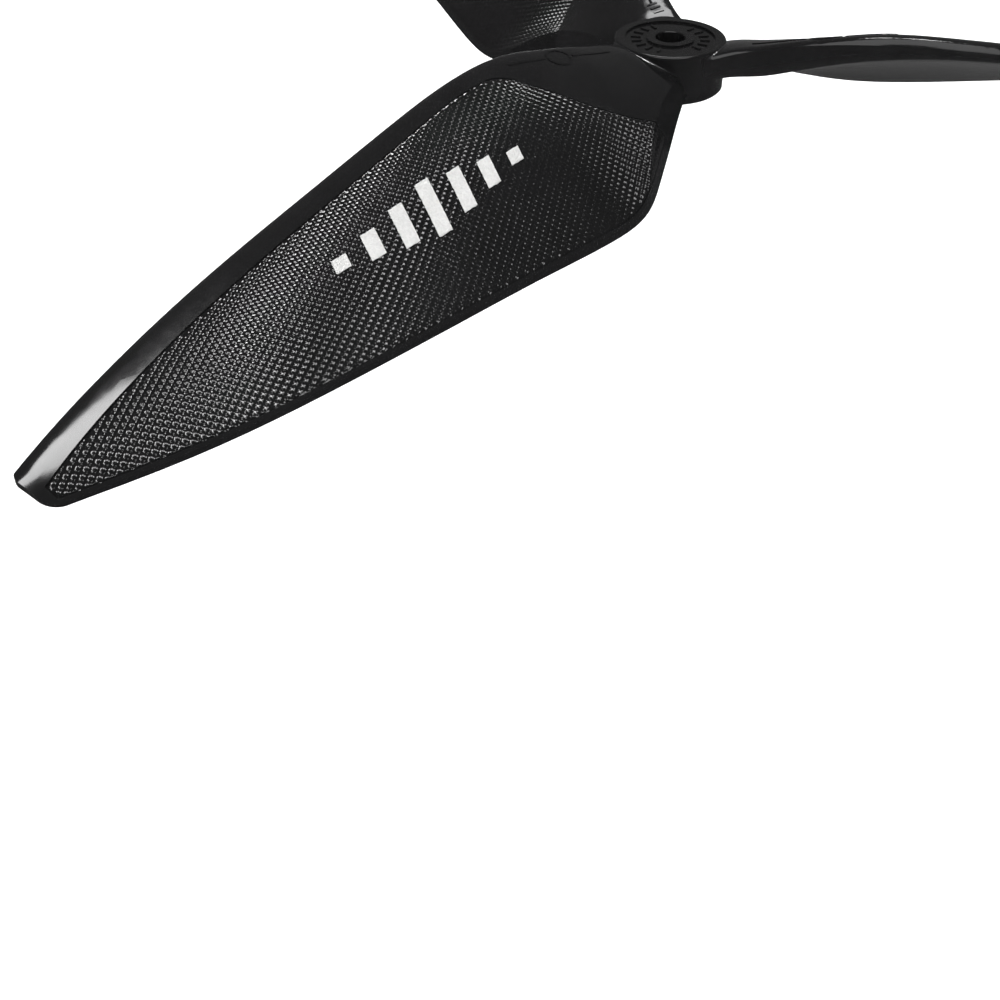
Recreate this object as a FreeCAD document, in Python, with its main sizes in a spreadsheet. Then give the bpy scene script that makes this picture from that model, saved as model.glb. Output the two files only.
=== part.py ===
import FreeCAD, Part
import Sketcher
import math
import os

# Three-blade fixed-pitch propeller for drones and model aircraft, in millimetres.
# +Z is the thrust direction, the origin is on the bore axis in the rear face of the
# hub, and blade_1 points along +X.  Seen from +Z it turns clockwise, so the leading
# edge of blade_1 is on its -Y side.  A section's "across" is the distance from the
# blade axis towards the leading edge.

PARTS_FOLDER = "parts"
BLADE_COUNT = 3
BLADE_STEP_DEGREES = 120
TOLERANCE = 0.01
STATION_FIELDS = ("radius", "lead", "trail", "pitch", "nose", "heel", "bump", "bow", "sink")

# Places along a section, as shares of its chord, where the two faces have their points.
UPPER_SHARES = (0.0, 0.03, 0.12, 0.33, 0.65, 1.0)
LOWER_SHARES = (0.0, 0.3, 0.65, 1.0)
# These bring the highest place of the two rises, sqrt(t) * (1 - t) and t * (1 - t), to 1.
CREST_SCALE = 1.5 * math.sqrt(3)
BOW_SCALE = 4

# One row for each blade section, from inside the drum to the tip: distance from the
# bore axis, leading and trailing edge offsets from the blade axis, pitch angle in
# degrees, height of the blunt nose below the leading edge, height of the blunt heel
# above the trailing edge, extra rise of the upper face, upward bow of the lower face,
# and depth of the blade axis below the front face of the hub.
STATIONS = (
    (5.0, 8.4, 8.8, 20.5, 4.5, 2.9, 1.3, 0.0, 3.95),
    (11.7, 8.6, 10.9, 21.0, 4.7, 3.4, 1.4, 0.0, 3.75),
    (15.5, 8.9, 12.4, 23.0, 5.1, 3.8, 1.2, 0.0, 3.15),
    (20.0, 9.6, 14.1, 26.3, 5.4, 4.5, 1.1, 0.0, 3.0),
    (25.0, 10.4, 16.0, 29.5, 5.0, 5.1, 1.4, 0.4, 3.05),
    (32.0, 11.8, 18.7, 31.0, 4.0, 4.3, 2.2, 1.2, 3.1),
    (42.0, 13.8, 22.2, 31.0, 2.8, 1.3, 4.0, 1.6, 3.25),
    (56.0, 14.7, 23.2, 29.9, 1.8, 0.9, 4.2, 1.6, 3.45),
    (76.0, 13.6, 22.4, 27.0, 1.3, 0.8, 3.8, 1.4, 3.7),
    (100.0, 11.4, 21.6, 22.7, 1.0, 0.7, 3.1, 1.1, 4.1),
    (128.0, 7.7, 20.7, 17.9, 0.8, 0.6, 2.3, 0.8, 4.1),
    (154.0, 2.4, 18.0, 14.9, 0.7, 0.6, 1.6, 0.5, 4.3),
    (170.0, -2.2, 14.7, 13.5, 0.5, 0.45, 1.1, 0.3, 4.4),
    (177.8, -4.9, 12.8, 13.0, 0.4, 0.35, 0.8, 0.2, 4.5),
)

DRIVING_SIZES = (
    ("tip_radius", 177.8, "half of the 14 inch diameter"),
    ("bore_radius", 3.175, "1/4 inch shaft"),
    ("hub_radius", 11.9, "outside of the hub drum"),
    ("hub_height", 10.3, "rear face to front face"),
    ("rim_rounding", 0.5, "front edge of the hub drum"),
    ("edge_break", 0.3, "small chamfers"),
    ("recess_inner", 5.1, "inside of the face recess"),
    ("recess_outer", 9.6, "outside of the face recess"),
    ("recess_depth", 0.4, "depth of the face recess"),
    ("seat_radius", 5.0, "counterbore for the adapter ring"),
    ("seat_depth", 3.0, "depth of that counterbore"),
    ("ring_gap", 0.05, "radial clearance of the adapter ring in its seat"),
    ("shaft_radius", 2.5, "5 mm shaft through the adapter ring"),
    ("nose_lean", 0.45, "lean of the nose face, for each mm of height"),
    ("heel_lean", 0.65, "lean of the heel face, for each mm of height"),
    ("nose_swell", 0.17, "roundness of the nose, as a share of its height"),
    ("tip_lead_corner", 2.8, "plan radius of the leading tip corner"),
    ("tip_trail_corner", 3.2, "plan radius of the trailing tip corner"),
    ("corner_margin", 1.5, "how far the corner cuts reach past the tip"),
    ("panel_depth", 0.25, "thickness of the woven-look panel"),
    ("panel_lead_margin", 5.5, "smooth strip along the leading edge"),
    ("panel_trail_margin", 1.1, "smooth strip along the trailing edge"),
    ("panel_tip_margin", 1.9, "smooth strip at the tip"),
    ("panel_start", 25.5, "radius where the panel reaches the trailing edge"),
    ("panel_shoulder", 51.0, "radius where the panel reaches its full width"),
    ("panel_corner", 4.0, "reach of the rounding at the panel's leading shoulder"),
    ("panel_corner_sag", 0.6, "how far the middle of that rounding is from the panel's side"),
    ("print_height", 0.1, "height of the printed bars"),
    ("print_radius", 87.0, "distance from the bore axis to the middle of the print"),
    ("print_offset", 4.9, "from the blade axis towards the trailing edge"),
    ("print_bar", 3.6, "width of one printed bar"),
    ("print_half_length", 4.6, "half of the length of the middle bar"),
    ("print_lean", 0.5, "slant of the bars"),
    ("print_pitch", 8.0, "distance from one printed bar to the next"),
    ("mark_height", 0.15, "height of the moulded marks"),
    ("mark_width", 0.5, "width of a moulded line"),
    ("mark_start", 17.0, "inner end of the root line"),
    ("mark_end", 45.4, "outer end of the root line"),
    ("mark_offset", 4.6, "of the inner end, towards the leading edge"),
    ("mark_slope", 0.17, "of the root line"),
    ("oval_radius", 31.6, "distance from the bore axis to the middle of the oval"),
    ("oval_length", 3.3, "long half axis of the oval"),
    ("oval_width", 2.5, "short half axis of the oval"),
    ("dash_start", 13.4, "radius of the innermost size dash"),
    ("dash_pitch", 1.7, "from one size dash to the next"),
    ("dash_offset", 3.3, "inner end of the size dashes, towards the leading edge"),
    ("dash_length", 2.4, "of the size dashes"),
    ("prism_height", 60.0, "of the prisms that mark out places on a blade; taller than the blade"),
    ("tick_inner", 6.3, "inner end of the ticks on the hub face"),
    ("tick_outer", 8.4, "outer end of the ticks on the hub face"),
    ("tick_height", 0.25, "of the ticks above the recess floor"),
)

# Groups of ticks on the hub face: direction of the middle one and how many there are.
TICK_GROUPS = ((126.5, 6), (306.5, 8))
TICK_STEP_DEGREES = 19
PRINT_REACH = 3
DASH_COUNT = 3
DASHED_BLADE = 3

document = FreeCAD.newDocument("propeller")
sheet = document.addObject("Spreadsheet::Sheet", "Sizes")
nodes = []


def write_cell(row, alias, value, note=""):
    """One row of the sheet: name, number and what it is."""
    sheet.set("A%d" % row, alias)
    sheet.set("B%d" % row, str(value))
    sheet.set("C%d" % row, note)
    sheet.setAlias("B%d" % row, alias)


def fill_sheet():
    """Write every driving size into the sheet as a number with an alias."""
    rows = [(alias, value, note) for alias, value, note in DRIVING_SIZES]
    for index, values in enumerate(STATIONS):
        for field, value in zip(STATION_FIELDS, values):
            rows.append(("%s_at_%d" % (field, index), value, "blade section"))
    for number, (alias, value, note) in enumerate(rows, 1):
        write_cell(number, alias, value, note)
    document.recompute()


def size(alias):
    """The number that the sheet holds under this alias."""
    return float(sheet.get(alias))


def station(index):
    """The sizes of one blade section, read from the sheet."""
    return {field: size("%s_at_%d" % (field, index)) for field in STATION_FIELDS}


def node(feature, label):
    """Name a finished sub-part; its label is its file's name."""
    feature.Label = label
    nodes.append(feature)
    return feature


# ------------------------------------------------------------ sketches and tools


def flat(x, y):
    """A point in a sketch's own plane."""
    return FreeCAD.Vector(x, y, 0)


def origin_plane(body, role):
    """The body's own origin plane with this role."""
    for feature in body.Origin.OriginFeatures:
        if feature.Role == role:
            return feature
    raise ValueError(role)


def plane_sketch(body, name, role):
    """A new sketch on one of the body's origin planes."""
    sketch = body.newObject("Sketcher::SketchObject", name)
    sketch.AttachmentSupport = [(origin_plane(body, role), "")]
    sketch.MapMode = "FlatFace"
    return sketch


def draw_lines(sketch, points):
    """Straight lines from each point to the next."""
    for here, there in zip(points, points[1:]):
        sketch.addGeometry(Part.LineSegment(flat(*here), flat(*there)), False)


def draw_outline(sketch, corners):
    """A closed run of straight lines through the corners."""
    draw_lines(sketch, corners + corners[:1])


def draw_spline(sketch, points):
    """A smooth curve through the points."""
    curve = Part.BSplineCurve()
    curve.interpolate([flat(*point) for point in points])
    sketch.addGeometry(curve, False)


def circle_sketch(body, name, radii, height="0"):
    """Circles round the bore axis; the radii and the height are sheet expressions."""
    sketch = plane_sketch(body, name, "XY_Plane")
    sketch.setExpression("AttachmentOffset.Base.z", height)
    for index, radius in enumerate(radii):
        sketch.addGeometry(Part.Circle(flat(0, 0), FreeCAD.Vector(0, 0, 1), index + 1.0), False)
        sketch.addConstraint(Sketcher.Constraint("Coincident", index, 3, -1, 1))
        number = sketch.addConstraint(Sketcher.Constraint("Radius", index, index + 1.0))
        sketch.setExpression("Constraints[%d]" % number, radius)
    document.recompute()
    return sketch


def plan_tool(name):
    """A sketch in plan and the tall prism that it cuts out of a blade."""
    sketch = document.addObject("Sketcher::SketchObject", name + "Plan")
    prism = document.addObject("Part::Extrusion", name)
    prism.Base = sketch
    prism.DirMode = "Custom"
    prism.Dir = FreeCAD.Vector(0, 0, 1)
    prism.Solid = True
    prism.Symmetric = True
    prism.setExpression("LengthFwd", "Sizes.prism_height")
    return sketch, prism


def cut_of(name, base, tool):
    """The base without the tool."""
    result = document.addObject("Part::Cut", name)
    result.Base = base
    result.Tool = tool
    return result


def common_of(name, base, tool):
    """What the two shapes share."""
    result = document.addObject("Part::Common", name)
    result.Base = base
    result.Tool = tool
    return result


def shifted(name, source, height):
    """The source moved along Z; the height is a sheet expression."""
    result = document.addObject("Part::Compound", name)
    result.Links = [source]
    result.setExpression("Placement.Base.z", height)
    return result


# -------------------------------------------------------------------------- hub


def edges_at(shape, radius, height):
    """Names of the circular edges with this radius at this height."""
    names = []
    for number, edge in enumerate(shape.Edges, 1):
        circle = edge.Curve
        if not isinstance(circle, Part.Circle):
            continue
        if abs(circle.Radius - radius) < TOLERANCE and abs(circle.Center.z - height) < TOLERANCE:
            names.append("Edge%d" % number)
    return names


def add_pocket(body, name, radii, height, depth, upward):
    """Cut a round or ring-shaped pocket; upward pockets start at the rear face."""
    before = body.Shape.Volume
    pocket = body.newObject("PartDesign::Pocket", name)
    pocket.Profile = circle_sketch(body, name + "Outline", radii, height)
    pocket.setExpression("Length", depth)
    pocket.Reversed = upward
    document.recompute()
    if body.Shape.Volume >= before:
        raise ValueError(name + " cuts nothing")
    return pocket


def add_edge_feature(body, kind, name, edge_names, expression):
    """A Fillet or Chamfer on edges of the body's last feature."""
    base = body.Tip
    feature = body.newObject("PartDesign::" + kind, name)
    feature.Base = (base, edge_names)
    feature.setExpression("Radius" if kind == "Fillet" else "Size", expression)
    document.recompute()
    return feature


def build_hub():
    """The drum: bore, face recess, counterbore for the ring, and broken edges."""
    body = document.addObject("PartDesign::Body", "Hub")
    pad = body.newObject("PartDesign::Pad", "Drum")
    pad.Profile = circle_sketch(body, "DrumOutline", ["Sizes.hub_radius"])
    pad.setExpression("Length", "Sizes.hub_height")
    document.recompute()
    front = edges_at(body.Shape, size("hub_radius"), size("hub_height"))
    add_edge_feature(body, "Fillet", "RimRounding", front, "Sizes.rim_rounding")
    rear = edges_at(body.Shape, size("hub_radius"), 0)
    add_edge_feature(body, "Chamfer", "RearEdge", rear, "Sizes.edge_break")
    add_pocket(body, "Bore", ["Sizes.bore_radius"], "Sizes.hub_height", "Sizes.hub_height", False)
    recess_radii = ["Sizes.recess_inner", "Sizes.recess_outer"]
    add_pocket(body, "Recess", recess_radii, "Sizes.hub_height", "Sizes.recess_depth", False)
    add_pocket(body, "RingSeat", ["Sizes.seat_radius"], "0", "Sizes.seat_depth", True)
    mouth = edges_at(body.Shape, size("bore_radius"), size("hub_height"))
    add_edge_feature(body, "Chamfer", "BoreMouth", mouth, "Sizes.edge_break / 2")
    return node(body, "hub")


def build_adapter_ring():
    """The loose ring in the rear counterbore; its 5 mm bore is chamfered in front."""
    body = document.addObject("PartDesign::Body", "AdapterRing")
    pad = body.newObject("PartDesign::Pad", "RingBlank")
    radii = ["Sizes.seat_radius - Sizes.ring_gap", "Sizes.shaft_radius"]
    pad.Profile = circle_sketch(body, "RingOutline", radii)
    pad.setExpression("Length", "Sizes.seat_depth")
    document.recompute()
    inner = edges_at(body.Shape, size("shaft_radius"), size("seat_depth"))
    outer = edges_at(body.Shape, size("seat_radius") - size("ring_gap"), size("seat_depth"))
    add_edge_feature(body, "Chamfer", "RingEdges", inner + outer, "Sizes.edge_break")
    return node(body, "shaft_adapter_ring")


def tick_corners(direction):
    """A radial bar on the hub face, as the corners of its outline."""
    turn = math.radians(direction)
    along = flat(math.cos(turn), math.sin(turn))
    side = flat(-along.y, along.x) * (size("mark_width") / 2)
    inner = along * size("tick_inner")
    outer = along * size("tick_outer")
    return [(corner.x, corner.y) for corner in (inner - side, outer - side, outer + side, inner + side)]


def build_face_ticks():
    """Plain raised ticks on the floor of the face recess, in two arcs."""
    sketch = document.addObject("Sketcher::SketchObject", "TickPlan")
    sketch.setExpression("Placement.Base.z", "Sizes.hub_height - Sizes.recess_depth")
    for middle, count in TICK_GROUPS:
        for index in range(count):
            offset = (index - (count - 1) / 2) * TICK_STEP_DEGREES
            draw_outline(sketch, tick_corners(middle + offset))
    ticks = document.addObject("Part::Extrusion", "FaceTicks")
    ticks.Base = sketch
    ticks.DirMode = "Custom"
    ticks.Dir = FreeCAD.Vector(0, 0, 1)
    ticks.Solid = True
    ticks.setExpression("LengthFwd", "Sizes.tick_height")
    return node(ticks, "hub_face_ticks")


# ------------------------------------------------------------------ blade form


def section_point(data, across, above):
    """A point of a section's sketch, at a height above its sloping chord."""
    axis_height = size("hub_height") - data["sink"]
    return (-across, axis_height + across * math.tan(math.radians(data["pitch"])) + above)


def upper_points(data):
    """Points of the upper face, from the leading edge to the top of the heel."""
    start = data["lead"]
    end = data["heel"] * size("heel_lean") - data["trail"]
    points = []
    for share in UPPER_SHARES:
        crest = CREST_SCALE * math.sqrt(share) * (1 - share)
        above = data["heel"] * share + data["bump"] * crest
        points.append(section_point(data, start + (end - start) * share, above))
    return points


def lower_points(data):
    """Points of the lower face, from the trailing edge to the foot of the nose."""
    start = -data["trail"]
    end = data["lead"] - data["nose"] * size("nose_lean")
    points = []
    for share in LOWER_SHARES:
        above = BOW_SCALE * data["bow"] * share * (1 - share) - data["nose"] * share
        points.append(section_point(data, start + (end - start) * share, above))
    return points


def nose_middle(data):
    """The foremost point of the rounded nose."""
    swell = size("nose_swell") - size("nose_lean") / 2
    return section_point(data, data["lead"] + data["nose"] * swell, -data["nose"] / 2)


def section_sketch(body, index):
    """One closed blade section on a plane square to the blade axis."""
    data = station(index)
    sketch = plane_sketch(body, "Section_%d" % index, "YZ_Plane")
    sketch.setExpression("AttachmentOffset.Base.z", "Sizes.radius_at_%d" % index)
    upper = upper_points(data)
    lower = lower_points(data)
    draw_spline(sketch, upper)
    draw_lines(sketch, [upper[-1], lower[0]])
    draw_spline(sketch, lower)
    nose = Part.Arc(flat(*lower[-1]), flat(*nose_middle(data)), flat(*upper[0]))
    sketch.addGeometry(nose, False)
    return sketch


def corner_waste(sketch, side, radius):
    """What is outside a rounded plan corner of the tip; side is -1 or +1."""
    name = "lead" if side < 0 else "trail"
    last, before = station(len(STATIONS) - 1), station(len(STATIONS) - 2)
    corner = flat(size("tip_radius"), side * last[name])
    inward = flat(0, -side)
    backward = flat(before["radius"] - last["radius"], side * (before[name] - last[name])).normalize()
    half = inward.getAngle(backward) / 2
    on_end = corner + inward * (radius / math.tan(half))
    on_edge = corner + backward * (radius / math.tan(half))
    middle = corner + (inward + backward).normalize() * radius * (1 / math.sin(half) - 1)
    margin = size("corner_margin")
    beside, beyond = inward * margin, backward * margin
    run = [on_edge, on_edge - beside, corner - beside - beyond, on_end - beyond, on_end]
    draw_lines(sketch, [(point.x, point.y) for point in run])
    sketch.addGeometry(Part.Arc(on_edge, middle, on_end), False)


def round_tip(body):
    """Cut the two plan corners of the tip round."""
    sketch = plane_sketch(body, "TipCorners", "XY_Plane")
    corner_waste(sketch, -1, size("tip_lead_corner"))
    corner_waste(sketch, 1, size("tip_trail_corner"))
    before = len(body.Shape.Faces)
    pocket = body.newObject("PartDesign::Pocket", "RoundTip")
    pocket.Profile = sketch
    pocket.Type = "ThroughAll"
    pocket.Midplane = True
    document.recompute()
    if len(body.Shape.Faces) <= before:
        raise ValueError("the tip corners are not cut")


def build_form():
    """The whole blade along +X, from the drum to the tip."""
    body = document.addObject("PartDesign::Body", "BladeForm")
    sections = [section_sketch(body, index) for index in range(len(STATIONS))]
    loft = body.newObject("PartDesign::AdditiveLoft", "BladeLoft")
    loft.Profile = sections[0]
    loft.Sections = sections[1:]
    loft.Ruled = False
    document.recompute()
    round_tip(body)
    drum = document.addObject("Part::Cylinder", "DrumSpace")
    drum.setExpression("Radius", "Sizes.hub_radius")
    drum.setExpression("Height", "Sizes.prism_height")
    drum.setExpression("Placement.Base.z", "-Sizes.prism_height / 2")
    return cut_of("BladeOutside", body, drum)


# --------------------------------------------------------- panel, print and marks


def edge_offset(name, radius):
    """How far an edge is from the blade axis at this radius, between two sections."""
    for index in range(1, len(STATIONS)):
        here, there = station(index - 1), station(index)
        if radius <= there["radius"]:
            break
    share = (radius - here["radius"]) / (there["radius"] - here["radius"])
    return here[name] + (there[name] - here[name]) * share


def radii_between(start, end):
    """The start, the sections that lie between, and the end."""
    sections = [station(index)["radius"] for index in range(len(STATIONS))]
    return [start] + [radius for radius in sections if start < radius < end] + [end]


def panel_lead_points():
    """The panel's leading side, from its shoulder to the tip."""
    margin = size("panel_lead_margin")
    start = size("panel_shoulder") + size("panel_corner")
    radii = radii_between(start, size("tip_radius") - size("panel_tip_margin"))
    return [(radius, margin - edge_offset("lead", radius)) for radius in radii]


def panel_trail_points():
    """The panel's trailing side, from the tip back to its inner end."""
    margin = size("panel_trail_margin")
    radii = radii_between(size("panel_start"), size("tip_radius") - size("panel_tip_margin"))
    return [(radius, edge_offset("trail", radius) - margin) for radius in reversed(radii)]


def build_panel_tool():
    """Plan outline of the woven-look panel on blade_1."""
    sketch, prism = plan_tool("PanelTool")
    lead = panel_lead_points()
    trail = panel_trail_points()
    draw_spline(sketch, lead)
    draw_lines(sketch, [lead[-1], trail[0]])
    draw_spline(sketch, trail)
    shoulder = (size("panel_shoulder"), lead[0][1] + size("panel_corner_sag"))
    knee = (size("panel_shoulder") - size("panel_corner"), lead[0][1] + size("panel_corner"))
    draw_lines(sketch, [trail[-1], knee])
    sketch.addGeometry(Part.Arc(flat(*knee), flat(*shoulder), flat(*lead[0])), False)
    return prism


def print_bar_corners(place):
    """One slanted bar of the print, counted from the middle one."""
    middle = size("print_radius") + place * size("print_pitch")
    half_length = size("print_half_length") * (1 - abs(place) / (PRINT_REACH + 1))
    half_width = size("print_bar") / 2
    lean = half_length * size("print_lean")
    near = size("print_offset") - half_length
    far = size("print_offset") + half_length
    low, high = middle - half_width, middle + half_width
    return [(low - lean, near), (high - lean, near), (high + lean, far), (low + lean, far)]


def build_print_tool():
    """Plan of the printed motif: slanted bars that shorten towards both ends."""
    sketch, prism = plan_tool("PrintTool")
    for place in range(-PRINT_REACH, PRINT_REACH + 1):
        draw_outline(sketch, print_bar_corners(place))
    return prism


def root_line_corners(start, end):
    """A stretch of the thin moulded line beside the leading edge."""
    half = size("mark_width") / 2
    start_y = -size("mark_offset") - size("mark_slope") * (start - size("mark_start"))
    end_y = -size("mark_offset") - size("mark_slope") * (end - size("mark_start"))
    return [(start, start_y - half), (end, end_y - half), (end, end_y + half), (start, start_y + half)]


def build_mark_tool():
    """Plan of the moulded root mark: an oval ring with a line on each side of it."""
    sketch, prism = plan_tool("MarkTool")
    middle = size("oval_radius")
    reach = size("oval_length") + size("mark_width")
    draw_outline(sketch, root_line_corners(size("mark_start"), middle - reach))
    draw_outline(sketch, root_line_corners(middle + reach, size("mark_end")))
    centre = flat(middle, -size("mark_offset") - size("mark_slope") * (middle - size("mark_start")))
    for inset in (0, size("mark_width")):
        ellipse = Part.Ellipse(centre, size("oval_length") - inset, size("oval_width") - inset)
        sketch.addGeometry(ellipse, False)
    return prism


def build_dash_tool():
    """Plan of the short moulded dashes that stand for a size mark at one root."""
    sketch, prism = plan_tool("DashTool")
    half = size("mark_width") / 2
    inner = -size("dash_offset")
    outer = inner - size("dash_length")
    for index in range(DASH_COUNT):
        middle = size("dash_start") + index * size("dash_pitch")
        low, high = middle - half, middle + half
        draw_outline(sketch, [(low, inner), (high, inner), (high, outer), (low, outer)])
    return prism


def raised_on(name, form, tool, height):
    """A thin layer of this height that lies on the blade inside the tool's plan."""
    lifted = common_of(name + "Lifted", shifted(name + "Shift", form, height), tool)
    return cut_of(name, lifted, form)


def turned_copy(source, label, step):
    """The same piece on another blade."""
    copy = document.addObject("Part::Feature", label)
    copy.Shape = source.Shape.copy()
    angle = BLADE_STEP_DEGREES * step
    copy.Placement = FreeCAD.Placement(FreeCAD.Vector(), FreeCAD.Rotation(angle, 0, 0))
    return node(copy, label)


def build_blades():
    """The three blades, each with its panel, print and root mark."""
    form = build_form()
    panel_tool = build_panel_tool()
    shell = cut_of("PanelShell", form, shifted("FormLowered", form, "-Sizes.panel_depth"))
    panel = common_of("Panel", shell, panel_tool)
    blade = cut_of("BladeCore", form, panel)
    bars = raised_on("PrintBars", form, build_print_tool(), "Sizes.print_height")
    mark = raised_on("RootMark", form, build_mark_tool(), "Sizes.mark_height")
    dashes = raised_on("SizeDashes", form, build_dash_tool(), "Sizes.mark_height")
    document.recompute()
    turned_copy(dashes, "size_mark_dashes", DASHED_BLADE - 1)
    for source, label in ((blade, "blade_%d"), (panel, "blade_panel_%d"), (bars, "blade_print_%d"),
                          (mark, "root_mark_%d")):
        node(source, label % 1)
        for step in range(1, BLADE_COUNT):
            turned_copy(source, label % (step + 1), step)


# ---------------------------------------------------------------- check and write


def check_document():
    """Stop if any object or sub-part is not sound."""
    for item in document.Objects:
        if "Invalid" in item.State or "Error" in item.State:
            raise ValueError("%s is %s" % (item.Label, item.State))
    for item in nodes:
        if item.Shape.isNull() or not item.Shape.isValid():
            raise ValueError(item.Label + " has no valid shape")


def write_parts():
    """One STEP file for each sub-part."""
    os.makedirs(PARTS_FOLDER, exist_ok=True)
    for item in nodes:
        item.Shape.exportStep(os.path.join(PARTS_FOLDER, item.Label + ".step"))
        print("%-20s %2d solids %9.2f mm3" % (item.Label, len(item.Shape.Solids), item.Shape.Volume))


fill_sheet()
build_hub()
build_adapter_ring()
build_face_ticks()
build_blades()
document.recompute()
check_document()
write_parts()
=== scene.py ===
import math

import bpy
import numpy as np
from mathutils import Matrix, Vector
from mathutils.bvhtree import BVHTree


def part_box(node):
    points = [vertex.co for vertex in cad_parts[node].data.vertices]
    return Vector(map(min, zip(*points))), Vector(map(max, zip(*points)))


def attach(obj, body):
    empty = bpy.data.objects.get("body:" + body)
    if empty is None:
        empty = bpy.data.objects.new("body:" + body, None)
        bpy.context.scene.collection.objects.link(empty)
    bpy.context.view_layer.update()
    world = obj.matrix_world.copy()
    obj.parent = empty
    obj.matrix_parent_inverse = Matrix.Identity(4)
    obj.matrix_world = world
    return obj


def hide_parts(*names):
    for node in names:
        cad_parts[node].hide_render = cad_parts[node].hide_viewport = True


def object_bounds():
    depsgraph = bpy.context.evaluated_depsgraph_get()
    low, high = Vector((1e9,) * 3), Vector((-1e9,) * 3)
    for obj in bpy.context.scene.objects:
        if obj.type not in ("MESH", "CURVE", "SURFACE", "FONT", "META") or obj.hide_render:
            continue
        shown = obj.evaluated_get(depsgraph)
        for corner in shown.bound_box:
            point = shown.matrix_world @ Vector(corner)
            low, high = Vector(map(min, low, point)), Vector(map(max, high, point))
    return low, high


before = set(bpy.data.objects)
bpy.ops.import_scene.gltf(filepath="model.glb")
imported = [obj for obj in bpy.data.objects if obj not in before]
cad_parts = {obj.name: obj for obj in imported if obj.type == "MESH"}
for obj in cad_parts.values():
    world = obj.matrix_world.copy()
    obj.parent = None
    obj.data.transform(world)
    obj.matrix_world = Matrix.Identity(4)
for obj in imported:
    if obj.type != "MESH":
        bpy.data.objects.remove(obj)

# The looks of a black moulded three-blade propeller, in metres, in the CAD frame:
# +Z is the thrust direction, the bore is on the Z axis and blade_1 lies along +X.
# Everything on a blade is made once, on blade_1, and turned about the bore for the others.

MM = 0.001
BLADES = (1, 2, 3)
BLADE_STEP = 2 * math.pi / len(BLADES)
BODY = "propeller"

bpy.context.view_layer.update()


# ------------------------------------------------------------------ node materials


class Shader:
    """A Principled material and short calls that add nodes to it."""

    def __init__(self, name):
        self.material = bpy.data.materials.new(name)
        self.material.use_nodes = True
        self.tree = self.material.node_tree
        self.surface = self.tree.nodes["Principled BSDF"]
        self.coordinates = self.tree.nodes.new("ShaderNodeTexCoord").outputs["Object"]

    def link(self, source, target):
        self.tree.links.new(source, target)

    def noise(self, scale, detail=3.0, roughness=0.55):
        """A noise value between 0 and 1; scale is in cycles per metre."""
        node = self.tree.nodes.new("ShaderNodeTexNoise")
        node.inputs["Scale"].default_value = scale
        node.inputs["Detail"].default_value = detail
        node.inputs["Roughness"].default_value = roughness
        self.link(self.coordinates, node.inputs["Vector"])
        return node.outputs["Fac"]

    def ramp(self, value, start, end, low=0.25, high=0.75):
        """Maps a value from low..high to start..end."""
        node = self.tree.nodes.new("ShaderNodeMapRange")
        node.inputs["From Min"].default_value = low
        node.inputs["From Max"].default_value = high
        node.inputs["To Min"].default_value = start
        node.inputs["To Max"].default_value = end
        self.link(value, node.inputs["Value"])
        return node.outputs["Result"]

    def mix_colours(self, factor, first, second):
        """A colour between two colours."""
        node = self.tree.nodes.new("ShaderNodeMix")
        node.data_type = "RGBA"
        self.link(factor, node.inputs["Factor"])
        for socket, colour in (("A", first), ("B", second)):
            target = [i for i in node.inputs if i.name == socket and i.type == "RGBA"][0]
            target.default_value = (*colour, 1)
        return [o for o in node.outputs if o.type == "RGBA"][0]

    def bump(self, height, distance, strength=1.0, under=None):
        """A bump of this height in metres, on top of another one."""
        node = self.tree.nodes.new("ShaderNodeBump")
        node.inputs["Distance"].default_value = distance
        node.inputs["Strength"].default_value = strength
        self.link(height, node.inputs["Height"])
        if under is not None:
            self.link(under, node.inputs["Normal"])
        return node.outputs["Normal"]


def moulded_plastic(name, light, dark, gloss, dull, grain):
    """Black nylon: faint mottling, roughness that varies, fine moulded grain."""
    shader = Shader(name)
    mottle = shader.ramp(shader.noise(90, 5), 0, 1)
    shader.link(shader.mix_colours(mottle, dark, light), shader.surface.inputs["Base Color"])
    wear = shader.noise(420, 6, 0.65)
    shader.link(shader.ramp(wear, gloss, dull), shader.surface.inputs["Roughness"])
    slow = shader.bump(shader.noise(160, 2), 0.0015 * MM)
    fine = shader.bump(shader.noise(3800, 3), grain, 1.0, slow)
    shader.link(fine, shader.surface.inputs["Normal"])
    shader.surface.inputs["Specular IOR Level"].default_value = 0.22
    return shader.material


def printed_ink(name):
    """Matt white pad print with thin places."""
    shader = Shader(name)
    thin = shader.ramp(shader.noise(2600, 5, 0.7), 0, 1, 0.3, 0.6)
    colour = shader.mix_colours(thin, (0.76, 0.76, 0.75), (0.92, 0.92, 0.91))
    shader.link(colour, shader.surface.inputs["Base Color"])
    shader.link(shader.ramp(shader.noise(900, 4), 0.45, 0.62), shader.surface.inputs["Roughness"])
    shader.link(shader.bump(shader.noise(5200, 4), 0.008 * MM), shader.surface.inputs["Normal"])
    return shader.material


BODY_BLACK = (0.0085, 0.0085, 0.0088)
BODY_SHADE = (0.006, 0.006, 0.0062)
WOVEN_BLACK = (0.0065, 0.0065, 0.0067)
WOVEN_SHADE = (0.0045, 0.0045, 0.0047)
RING_BLACK = (0.02, 0.02, 0.021)
RING_SHADE = (0.014, 0.014, 0.015)

black_nylon = moulded_plastic("black_nylon", BODY_BLACK, BODY_SHADE, 0.08, 0.13, 0.0008 * MM)
woven_nylon = moulded_plastic("woven_nylon", WOVEN_BLACK, WOVEN_SHADE, 0.1, 0.15, 0.0006 * MM)
ring_nylon = moulded_plastic("ring_nylon", RING_BLACK, RING_SHADE, 0.32, 0.45, 0.004 * MM)
white_ink = printed_ink("white_ink")


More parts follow.
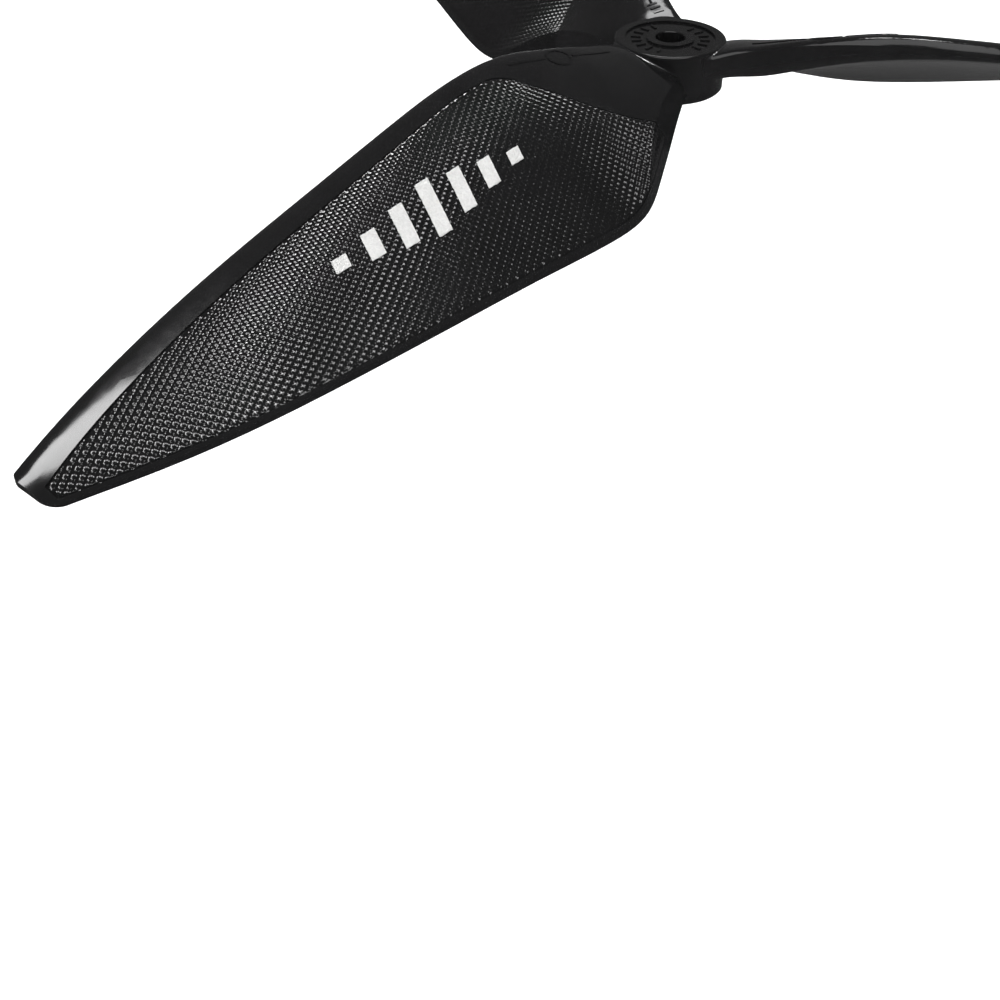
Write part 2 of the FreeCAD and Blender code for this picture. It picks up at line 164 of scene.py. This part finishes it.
def paint(obj, material):
    """Gives the whole object one material."""
    obj.data.materials.clear()
    obj.data.materials.append(material)
    for face in obj.data.polygons:
        face.material_index = 0


def new_piece(name, mesh, material, replaced):
    """A piece on blade_1 and its turned copies on the others."""
    mesh.materials.append(material)
    for number in BLADES:
        turned = mesh.copy()
        turned.transform(Matrix.Rotation(BLADE_STEP * (number - 1), 4, "Z"))
        piece = bpy.data.objects.new("%s_%d" % (name, number), turned)
        bpy.context.scene.collection.objects.link(piece)
        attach(piece, BODY)
        if replaced:
            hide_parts("%s_%d" % (replaced, number))


# ------------------------------------------------------------- surfaces of the frame


FACES_UP = 0.2
HALVINGS = 16
COLUMN_TRIES = 120


class Ground:
    """The upward-facing faces of a CAD node, for dropping points on."""

    def __init__(self, name):
        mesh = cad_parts[name].data
        corners = [vertex.co.copy() for vertex in mesh.vertices]
        faces = [tuple(p.vertices) for p in mesh.polygons if p.normal.z > FACES_UP]
        self.tree = BVHTree.FromPolygons(corners, faces)
        self.low, self.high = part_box(name)

    def drop(self, x, y):
        """Height of the surface at this place, or None beside it."""
        place = self.tree.ray_cast(Vector((x, y, self.high.z + MM)), Vector((0, 0, -1)))[0]
        return place.z if place else None


def edge_between(ground, x, inside, outside):
    """The place where the surface ends between a y inside it and a y outside it."""
    for _ in range(HALVINGS):
        middle = (inside + outside) / 2
        if ground.drop(x, middle) is None:
            outside = middle
        else:
            inside = middle
    return inside


def column_ends(ground, x):
    """The lowest and the highest y of the surface at this x, or None."""
    tries = np.linspace(ground.low.y, ground.high.y, COLUMN_TRIES)
    hits = [y for y in tries if ground.drop(x, y) is not None]
    if not hits:
        return None
    step = tries[1] - tries[0]
    low = edge_between(ground, x, hits[0], hits[0] - step)
    high = edge_between(ground, x, hits[-1], hits[-1] + step)
    return low, high


# ------------------------------------------------------------------- woven pattern

# The weave repeats every WEAVE_LONG along the blade and WEAVE_SHORT across it.
WEAVE_TURN = math.radians(-12.6)
WEAVE_LONG = 1.87 * MM
WEAVE_SHORT = 1.42 * MM
WEAVE_DEPTH = 0.2 * MM
# Towards the tip the weave leans and bends, as it follows the curve of the blade.
WEAVE_LEAN = 0.54
WEAVE_LEAN_START = 100 * MM
WEAVE_BEND_START = 138 * MM
WEAVE_BEND = 3.2
WEAVE_STRETCH = 1.3
WEAVE_FADE = 0.35 * MM
PANEL_INSET = 0.3 * MM
PANEL_MARGIN = 0.02 * MM
PANEL_SKIRT = 0.22 * MM
GRID_STEP = 0.225 * MM
GRID_ROWS = 136
# The ink lies on the relief and fills part of its hollows.
INK_STEP = 0.22 * MM
INK_HEIGHT = 0.04 * MM
INK_SKIRT = 0.2 * MM
INK_FOLLOWS = 0.8
INK_LEAST_CELLS = 4
END_REACH = 0.1 * MM
CREASE = math.radians(60)


def weave(x, y):
    """Height of the woven relief from -1 between the bumps to 0 on their tops."""
    lean = 1 + WEAVE_LEAN * np.clip((x - WEAVE_LEAN_START) / (WEAVE_BEND_START - WEAVE_LEAN_START), 0, 1)
    past = np.maximum(x - WEAVE_BEND_START, 0) ** 2
    along = x * math.cos(WEAVE_TURN) + y * math.sin(WEAVE_TURN) * lean - WEAVE_STRETCH * past
    across = y * math.cos(WEAVE_TURN) - x * math.sin(WEAVE_TURN) - WEAVE_BEND * past
    wave = np.cos(2 * np.pi * along / WEAVE_LONG) * np.cos(2 * np.pi * across / WEAVE_SHORT)
    return np.sqrt(0.5 + 0.5 * wave) - 1


def quad_grid(columns, rows):
    """The faces of a grid with this many vertices each way."""
    faces = []
    for i in range(columns - 1):
        for j in range(rows - 1):
            a = i * rows + j
            faces.append((a, a + rows, a + rows + 1, a + 1))
    return faces


def grid_rim(columns, rows):
    """The vertices round the border of a grid, in order."""
    rim = [i * rows for i in range(columns)]
    rim += [(columns - 1) * rows + j for j in range(1, rows)]
    rim += [i * rows + rows - 1 for i in range(columns - 2, -1, -1)]
    rim += [j for j in range(rows - 2, 0, -1)]
    return rim


def with_skirt(points, faces, rim, drop):
    """Adds a wall that goes down from the rim."""
    start = len(points)
    points = points + [(points[i][0], points[i][1], points[i][2] - drop) for i in rim]
    count = len(rim)
    for k in range(count):
        after = (k + 1) % count
        faces.append((rim[after], rim[k], start + k, start + after))
    return points, faces


def smooth_mesh(name, points, faces):
    """A mesh that is shaded smooth except over sharp edges."""
    mesh = bpy.data.meshes.new(name)
    mesh.from_pydata(points, [], faces)
    mesh.validate()
    mesh.shade_smooth()
    mesh.set_sharp_from_angle(angle=CREASE)
    return mesh


def build_weave():
    """The moulded woven panel, from its outline in the frame."""
    ground = Ground("blade_panel_1")
    margin = PANEL_MARGIN
    start, end = ground.low.x + PANEL_INSET, ground.high.x - margin
    places = np.linspace(start, end, int((end - start) / GRID_STEP))
    found = [(x, column_ends(ground, x)) for x in places]
    found = [(x, ends) for x, ends in found if ends]
    columns = len(found)
    shares = np.linspace(0, 1, GRID_ROWS)
    points = []
    for x, (low, high) in found:
        ys = low + margin + (high - low - 2 * margin) * shares
        inside = np.minimum(np.minimum(ys - low, high - ys), min(x - start, end - x) + margin)
        fade = np.clip(inside / WEAVE_FADE, 0, 1)
        heights = (weave(x, ys) * fade + fade - 1) * WEAVE_DEPTH
        points += [(x, y, ground.drop(x, y) + height) for y, height in zip(ys, heights)]
    faces = quad_grid(columns, GRID_ROWS)
    points, faces = with_skirt(points, faces, grid_rim(columns, GRID_ROWS), PANEL_SKIRT)
    mesh = smooth_mesh("woven_panel", points, faces)
    new_piece("woven_panel", mesh, woven_nylon, "blade_panel")


def islands(mesh):
    """The vertex places of each separate part of a mesh."""
    group = list(range(len(mesh.vertices)))

    def root(i):
        while group[i] != i:
            group[i] = group[group[i]]
            i = group[i]
        return i

    for edge in mesh.edges:
        group[root(edge.vertices[0])] = root(edge.vertices[1])
    parts = {}
    for vertex in mesh.vertices:
        parts.setdefault(root(vertex.index), []).append(vertex.co)
    return list(parts.values())


def between(low, high, share):
    """The value at this share of the way from low to high."""
    return low + (high - low) * share


def bar_grid(bar, ground):
    """One printed bar as a grid of points on the relief, and its size in cells."""
    low_y, high_y = min(p.y for p in bar), max(p.y for p in bar)
    near = [p.x for p in bar if p.y < low_y + END_REACH]
    far = [p.x for p in bar if p.y > high_y - END_REACH]
    rows = max(INK_LEAST_CELLS, int((high_y - low_y) / INK_STEP))
    columns = max(INK_LEAST_CELLS, int((max(near) - min(near)) / INK_STEP))
    points = []
    for i in range(columns):
        share_x = i / (columns - 1)
        x_near = between(min(near), max(near), share_x)
        x_far = between(min(far), max(far), share_x)
        for j in range(rows):
            share_y = j / (rows - 1)
            x = between(x_near, x_far, share_y)
            y = between(low_y, high_y, share_y)
            relief = float(weave(x, y)) * WEAVE_DEPTH * INK_FOLLOWS
            points.append((x, y, ground.drop(x, y) + relief + INK_HEIGHT))
    return points, columns, rows


def build_ink():
    """The printed bars as a thin layer of ink that follows the woven relief."""
    ground = Ground("blade_panel_1")
    points, faces = [], []
    for bar in islands(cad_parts["blade_print_1"].data):
        part, columns, rows = bar_grid(bar, ground)
        part_faces = quad_grid(columns, rows)
        part, part_faces = with_skirt(part, part_faces, grid_rim(columns, rows), INK_SKIRT)
        faces += [tuple(index + len(points) for index in face) for face in part_faces]
        points += part
    mesh = smooth_mesh("printed_bars", points, faces)
    new_piece("printed_bars", mesh, white_ink, "blade_print")


# --------------------------------------------------------------------- root fillets

FILLET_SOFT = 1.7 * MM
FILLET_CRISP = 0.35 * MM
FILLET_LEAST = 0.25 * MM
FILLET_EASE = 1.3
FILLET_STEPS = 8
FILLET_SINK = 0.03 * MM
FILLET_BURIED = 0.4 * MM
# How near the fillet may come to the drum's top and bottom.
ROOM_ABOVE = 0.45 * MM
ROOM_BELOW = 0.35 * MM
STEEPEST = 0.05
ON_DRUM = 0.02 * MM
LOOP_TRIES = 720
LOOP_POINTS = 220
LOOP_HALVINGS = 22
SOFTEN_TURNS = 3
SOFTEN_RADII = 4


class RootFace:
    """The end of blade_1 that lies on the hub drum, unrolled flat."""

    def __init__(self):
        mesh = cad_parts["blade_1"].data
        self.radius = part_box("hub")[1].x
        places = [vertex.co.copy() for vertex in mesh.vertices]
        on_drum = [abs(math.hypot(p.x, p.y) - self.radius) < ON_DRUM for p in places]
        spread = [Vector((self.radius * math.atan2(p.y, p.x), p.z, 0)) for p in places]
        faces, others = [], []
        for polygon in mesh.polygons:
            flat = all(on_drum[i] for i in polygon.vertices)
            (faces if flat else others).append(tuple(polygon.vertices))
        self.tree = BVHTree.FromPolygons(spread, faces)
        self.blade = BVHTree.FromPolygons(places, others)
        used = [spread[i] for face in faces for i in face]
        self.centre = sum(used, Vector((0, 0, 0))) / len(used)

    def inside(self, u, z):
        """True where the unrolled face covers this place."""
        return self.tree.ray_cast(Vector((u, z, MM)), Vector((0, 0, -1)))[0] is not None

    def edge(self, direction):
        """Where the face ends in this direction from its middle."""
        start = np.array(self.centre[:2])
        near, far = 0.0, 2 * self.radius
        for _ in range(LOOP_HALVINGS):
            middle = (near + far) / 2
            if self.inside(*(start + direction * middle)):
                near = middle
            else:
                far = middle
        return start + direction * near

    def rolled(self, flat_place, lift=0.0):
        """The place on the drum of a place on the unrolled face."""
        turn = flat_place[0] / self.radius
        reach = self.radius + lift
        return Vector((reach * math.cos(turn), reach * math.sin(turn), flat_place[1]))


def even_loop(places, count):
    """The same closed line with its points spaced evenly."""
    closed = np.vstack([places, places[:1]])
    along = np.concatenate([[0], np.cumsum(np.linalg.norm(np.diff(closed, axis=0), axis=1))])
    wanted = np.linspace(0, along[-1], count, endpoint=False)
    return np.column_stack([np.interp(wanted, along, closed[:, k]) for k in (0, 1)])


def softened(values, passes):
    """Values round a loop, averaged with their neighbours."""
    for _ in range(passes):
        values = (values + np.roll(values, 1, axis=0) + np.roll(values, -1, axis=0)) / 3
    return values


def fillet_radii(loop, outward, top):
    """The fillet's width: soft at the leading edge, crisp at the trailing edge, within the drum."""
    lead_share = np.clip(0.5 - 0.5 * outward[:, 0], 0, 1)
    radii = FILLET_CRISP + (FILLET_SOFT - FILLET_CRISP) * lead_share**FILLET_EASE
    room_above = (top - ROOM_ABOVE - loop[:, 1]) / np.maximum(outward[:, 1], STEEPEST)
    room_below = (loop[:, 1] - ROOM_BELOW) / np.maximum(-outward[:, 1], STEEPEST)
    room = np.minimum(room_above, room_below)
    return softened(np.clip(np.minimum(radii, room), FILLET_LEAST, None), SOFTEN_RADII)


def root_loop(face):
    """The outline of the root face, evenly spaced, and its outward directions."""
    turns = np.linspace(0, 2 * np.pi, LOOP_TRIES, endpoint=False)
    loop = np.array([face.edge(np.array((math.cos(t), math.sin(t)))) for t in turns])
    loop = even_loop(loop, LOOP_POINTS)
    along = softened(np.roll(loop, -1, axis=0) - np.roll(loop, 1, axis=0), SOFTEN_TURNS)
    along /= np.linalg.norm(along, axis=1)[:, None]
    return loop, np.column_stack([along[:, 1], -along[:, 0]])


def fillet_arc(face, place, out, radius):
    """One section of the fillet, from the drum to the blade, and a last point inside the drum."""
    corner = face.rolled(place)
    on_hub = face.rolled(place + out * radius, -FILLET_SINK)
    lifted = face.rolled(place + out * 0.1 * radius) + Vector((radius, 0, 0))
    on_blade, normal = face.blade.find_nearest(lifted)[:2]
    on_blade = on_blade - normal * FILLET_SINK
    points = []
    for step in range(FILLET_STEPS):
        share = step / (FILLET_STEPS - 1)
        points.append(on_hub * (1 - share) ** 2 + corner * 2 * share * (1 - share) + on_blade * share**2)
    points.append(face.rolled(place - out * FILLET_BURIED, -FILLET_BURIED))
    return points


def build_fillets():
    """The concave fillets between the blade roots and the hub drum."""
    face = RootFace()
    loop, outward = root_loop(face)
    radii = fillet_radii(loop, outward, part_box("hub")[1].z)
    points = []
    for place, out, radius in zip(loop, outward, radii):
        points += fillet_arc(face, place, out, radius)
    ring = FILLET_STEPS + 1
    faces = []
    for k in range(LOOP_POINTS):
        after = (k + 1) % LOOP_POINTS
        for j in range(ring):
            beside = (j + 1) % ring
            faces.append((k * ring + j, k * ring + beside, after * ring + beside, after * ring + j))
    mesh = smooth_mesh("root_fillet", [tuple(p) for p in points], faces)
    new_piece("root_fillet", mesh, black_nylon, None)


build_weave()
build_ink()
build_fillets()

for name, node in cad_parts.items():
    if name.startswith("blade_print"):
        paint(node, white_ink)
    elif name == "shaft_adapter_ring":
        paint(node, ring_nylon)
    elif not name.startswith("blade_panel"):
        paint(node, black_nylon)


# -------------------------------------------------------------- floor, light, camera

FLOOR_DROP = 0.9
FLOOR_REACH = 2.2
SWEEP_RADIUS = 0.9
WALL_HEIGHT = 2.5
FLOOR_GLOW = 0.6
SWEEP_STEPS = 10
SWEEP_SIDES = 72


def build_floor():
    """A plain pale floor well below the propeller that sweeps up to a wall all round.

    It is hidden from reflections, which would grey the black plastic.
    """
    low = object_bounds()[0].z - FLOOR_DROP
    profile = [(0.0, 0.0)]
    for step in range(SWEEP_STEPS + 1):
        bend = math.pi / 2 * step / SWEEP_STEPS
        reach = FLOOR_REACH + SWEEP_RADIUS * math.sin(bend)
        profile.append((reach, SWEEP_RADIUS * (1 - math.cos(bend))))
    profile.append((FLOOR_REACH + SWEEP_RADIUS, WALL_HEIGHT))
    points = []
    for side in range(SWEEP_SIDES + 1):
        turn = 2 * math.pi * side / SWEEP_SIDES
        points += [(reach * math.cos(turn), reach * math.sin(turn), low + rise) for reach, rise in profile]
    mesh = smooth_mesh("floor", points, quad_grid(SWEEP_SIDES + 1, len(profile)))
    shader = Shader("floor_paint")
    speckle = shader.ramp(shader.noise(30, 4), 0, 1)
    colour = shader.mix_colours(speckle, (0.95, 0.95, 0.95), (0.97, 0.97, 0.97))
    shader.link(colour, shader.surface.inputs["Base Color"])
    shader.surface.inputs["Roughness"].default_value = 0.9
    shader.surface.inputs["Emission Color"].default_value = (1, 1, 1, 1)
    shader.surface.inputs["Emission Strength"].default_value = FLOOR_GLOW
    shader.material.cycles.emission_sampling = "NONE"
    mesh.materials.append(shader.material)
    floor = bpy.data.objects.new("floor", mesh)
    floor.visible_glossy = False
    bpy.context.scene.collection.objects.link(floor)


def add_softbox(name, place, target, width, height, power):
    """A rectangular area light that faces a target."""
    light = bpy.data.lights.new(name, "AREA")
    light.shape = "RECTANGLE"
    light.size = width
    light.size_y = height
    light.energy = power
    lamp = bpy.data.objects.new(name, light)
    lamp.location = place
    lamp.visible_camera = False
    lamp.rotation_mode = "QUATERNION"
    lamp.rotation_quaternion = (Vector(target) - Vector(place)).to_track_quat("-Z", "Y")
    bpy.context.scene.collection.objects.link(lamp)
    return lamp


def shine_on(lamp, names):
    """Limits a light to these pieces."""
    pieces = bpy.data.collections.new(lamp.name + "_pieces")
    for name in names:
        pieces.objects.link(bpy.data.objects[name])
    lamp.light_linking.receiver_collection = pieces


def build_world(strength):
    """An even grey surround."""
    world = bpy.data.worlds.new("surround")
    world.use_nodes = True
    world.node_tree.nodes["Background"].inputs["Color"].default_value = (1, 1, 1, 1)
    world.node_tree.nodes["Background"].inputs["Strength"].default_value = strength
    bpy.context.scene.world = world


def build_camera():
    """A 50 mm lens looking down at blade_1 from beyond its tip."""
    camera = bpy.data.objects.new("camera", bpy.data.cameras.new("camera"))
    camera.data.lens = 50
    camera.data.sensor_width = 36
    camera.data.clip_start = 0.01
    camera.location = (0.2564, 0.1445, 0.1188)
    camera.rotation_euler = (math.radians(51.18), 0, math.radians(126.48))
    bpy.context.scene.collection.objects.link(camera)
    bpy.context.scene.camera = camera


def toward(azimuth, elevation):
    """A unit vector in this direction, in degrees."""
    a, e = math.radians(azimuth), math.radians(elevation)
    return Vector((math.cos(a) * math.cos(e), math.sin(a) * math.cos(e), math.sin(e)))


def add_small_lights(name, target, lights, size, pieces):
    """Square softboxes 1 m from a target, each given as azimuth, elevation and power."""
    for azimuth, elevation, power in lights:
        lamp = add_softbox(name, target + toward(azimuth, elevation), target, size, size, power)
        shine_on(lamp, pieces)


# What the lights face: the tip of blade_1, the root of blade_3 and the middle of blade_1.
TIP = Vector((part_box("blade_1")[1].x, 0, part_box("hub")[0].z + 5 * MM))
ROOT = Vector((-13 * MM, -10 * MM, 11 * MM))
MIDDLE = Vector((80 * MM, 0, 10 * MM))
SURROUND = 0.13
WEAVE_LIGHT_SIZE = 0.14
RIDGE_LIGHT_SIZE = 0.16
# Each light below has its azimuth and elevation in degrees and its power in watts.
# These glint on the woven relief, from both sides.
WEAVE_LIGHTS = (
    (140, 42, 0.85),
    (168, 62, 1.5),
    (-140, 40, 2.2),
    (-172, 30, 0.75),
    (-175, 75, 3.0),
    (20, 50, 2.0),
    (-50, 45, 2.0),
    (70, 40, 2.0),
)
# These draw the thin bright line along blade_2.
RIDGE_LIGHTS = ((177, 67, 2.4), (-150, 66, 1.8))
# This glints on the relief of blade_3, whose surface faces another way.
FAR_WEAVE_LIGHTS = ((-122, 25, 0.8),)

woven = ["woven_panel_%d" % number for number in BLADES]
fillets = ["root_fillet_%d" % number for number in BLADES]
smooth = [piece.name for piece in bpy.data.objects if piece.type == "MESH" and piece.name not in woven]

build_floor()
build_world(SURROUND)
tip_softbox = add_softbox("tip_softbox", TIP + toward(-133, 55) * 0.35, TIP, 0.1, 0.085, 0.62)
shine_on(tip_softbox, ["blade_1", "printed_bars_1"])
root_softbox = add_softbox("root_softbox", ROOT + toward(-151, 49) * 0.9, ROOT, 0.26, 0.2, 1.6)
shine_on(root_softbox, ["hub", "hub_face_ticks", "blade_3", "size_mark_dashes"] + fillets)
hub_softbox = add_softbox("hub_softbox", ROOT + toward(177, 67) * 0.9, ROOT, 0.45, 0.45, 60)
shine_on(hub_softbox, fillets)
overhead = add_softbox("overhead", toward(35, 68) * 1.7, (0.05, 0, 0), 1.6, 1.6, 30)
shine_on(overhead, smooth + ["floor"])
add_small_lights("weave_softbox", MIDDLE, WEAVE_LIGHTS, WEAVE_LIGHT_SIZE, woven)
add_small_lights("ridge_softbox", ROOT, RIDGE_LIGHTS, RIDGE_LIGHT_SIZE, ["blade_2"])
add_small_lights("far_softbox", ROOT, FAR_WEAVE_LIGHTS, WEAVE_LIGHT_SIZE, ["woven_panel_3"])
build_camera()
bpy.context.scene.view_settings.view_transform = "Standard"
